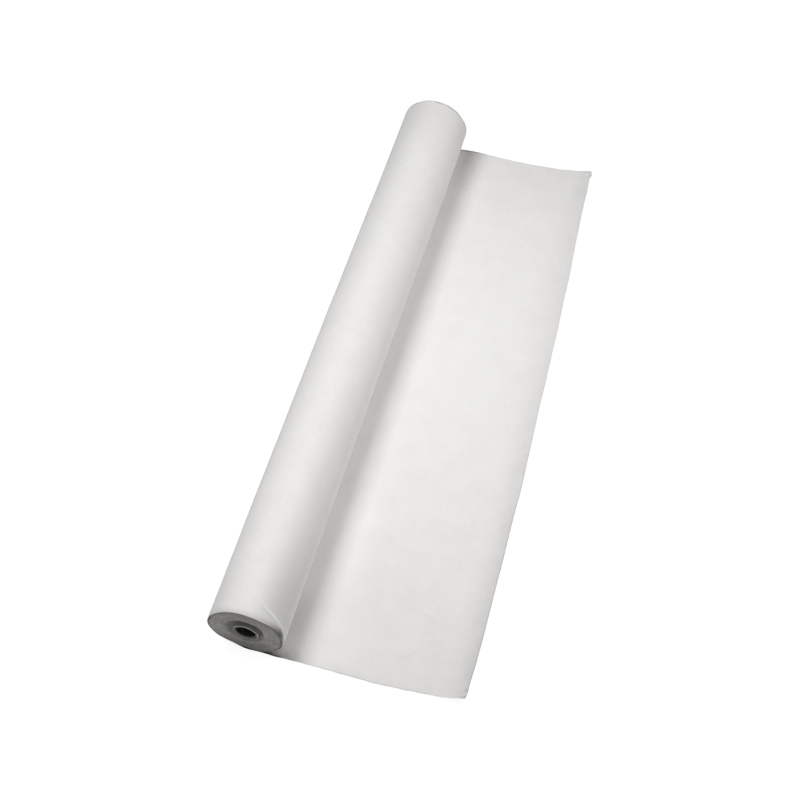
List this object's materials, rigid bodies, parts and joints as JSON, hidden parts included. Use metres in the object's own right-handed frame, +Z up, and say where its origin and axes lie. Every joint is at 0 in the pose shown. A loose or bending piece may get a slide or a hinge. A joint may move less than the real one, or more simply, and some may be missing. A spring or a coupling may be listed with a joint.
{
  "type": "geotextile roll",
  "caption": "White nonwoven geotextile wound on a thin core tube, lying on the ground with its first stretch rolled out beside it and the free end lifting.",
  "frame": {"origin": "the middle of the footprint, on the ground", "axes": "+Y along the roll's axis from its near end to its far one, +X from the roll towards the loose end, +Z up"},
  "size_m": [0.3668, 1.001, 0.1109],
  "materials": {
    "cloth": "matte",
    "wound_cloth": "matte",
    "core": "satin",
    "tape": "matte"
  },
  "bodies": {
    "laid": {"laid_sheet": "cloth", "free_end": "cloth"},
    "feed": {"outer_turn": "cloth"},
    "roll": {"core_tube": "core", "start_tape": "tape", "wound_fabric": "wound_cloth"}
  },
  "joints": [
    {"name": "roll_travel", "type": "slide", "parent": "laid", "child": "feed", "axis": [1, 0, 0], "range_m": [-0.35, 0.1], "deforming": ["laid_sheet"]},
    {"name": "roll_turn", "type": "hinge", "parent": "feed", "child": "roll", "pos_m": [-0.12792, 0, 0.05625], "axis": [0, 1, 0], "range_deg": [-361, 104]}
  ],
  "couplings": [
    {"joint": "roll_turn", "follows": "roll_travel", "rad_per_m": 17.953}
  ]
}
